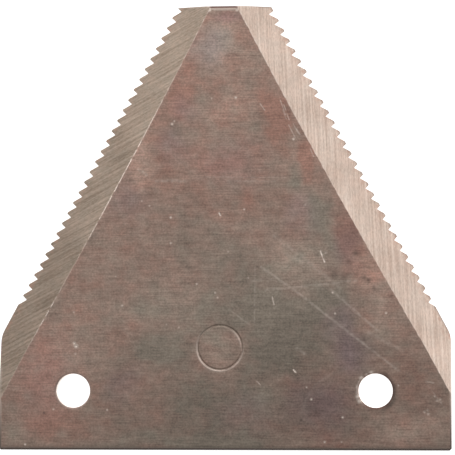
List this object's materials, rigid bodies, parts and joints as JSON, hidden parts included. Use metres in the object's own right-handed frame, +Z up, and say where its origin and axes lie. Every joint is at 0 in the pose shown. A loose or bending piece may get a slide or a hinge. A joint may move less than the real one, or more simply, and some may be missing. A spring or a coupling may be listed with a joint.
{
  "type": "mower sickle section",
  "caption": "Flat tapered steel knife section with ground bevels, serrated cutting edges, a blunt tip and rivet holes beside the base edge.",
  "frame": {"origin": "midway between the two rivet holes, on the flat underside", "axes": "+X across the plate from hole to hole, +Y from the base edge to the tip, +Z up through the thickness on the bevelled side"},
  "size_m": [0.076, 0.0748, 0.0022],
  "materials": {
    "steel": "rolled and oiled steel with a thin brown tarnish on its faces, brighter where the bevels are ground"
  },
  "bodies": {
    "root": {"sickle_section": "steel"}
  },
  "joints": []
}
